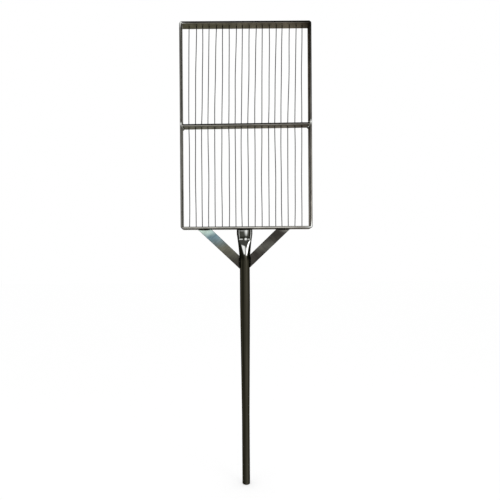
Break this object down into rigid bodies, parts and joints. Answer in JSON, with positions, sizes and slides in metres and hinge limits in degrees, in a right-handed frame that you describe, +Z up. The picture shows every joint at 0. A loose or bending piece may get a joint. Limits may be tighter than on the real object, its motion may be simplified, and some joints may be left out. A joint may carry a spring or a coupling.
{
  "type": "curd harp",
  "caption": "Long-handled curd harp: a rectangular hoop of bent flat bar with a cross bar, strung with upright cutting wires, braced to a tapered steel tube handle.",
  "frame": {"origin": "under the middle of the hoop, level with the handle's lower end", "axes": "+Z up the handle towards the hoop, +X across the wires, to the right as pictured, +Y through the depth of the bar, away from the pictured front"},
  "size_m": [0.341, 0.028, 1.2],
  "materials": {
    "flat_bar": "mill-rolled, hand polished",
    "tube": "drawn and polished lengthwise",
    "wire": "bright drawn",
    "weld": "rippled bead with a faint heat tint"
  },
  "bodies": {
    "root": {"frame_hoop": "flat_bar", "cross_bar": "flat_bar", "wire_01": "wire", "wire_02": "wire", "wire_03": "wire", "wire_04": "wire", "wire_05": "wire", "wire_06": "wire", "wire_07": "wire", "wire_08": "wire", "wire_09": "wire", "wire_10": "wire", "wire_11": "wire", "wire_12": "wire", "wire_13": "wire", "wire_14": "wire", "wire_15": "wire", "wire_16": "wire", "wire_17": "wire", "wire_18": "wire", "wire_plugs_top": "weld", "wire_plugs_bottom": "weld", "handle_tube": "tube", "handle_end_plug": "tube", "brace_left": "flat_bar", "brace_right": "flat_bar", "cross_bar_welds": "weld", "handle_welds": "weld", "brace_welds_left": "weld", "brace_welds_right": "weld"}
  },
  "joints": []
}
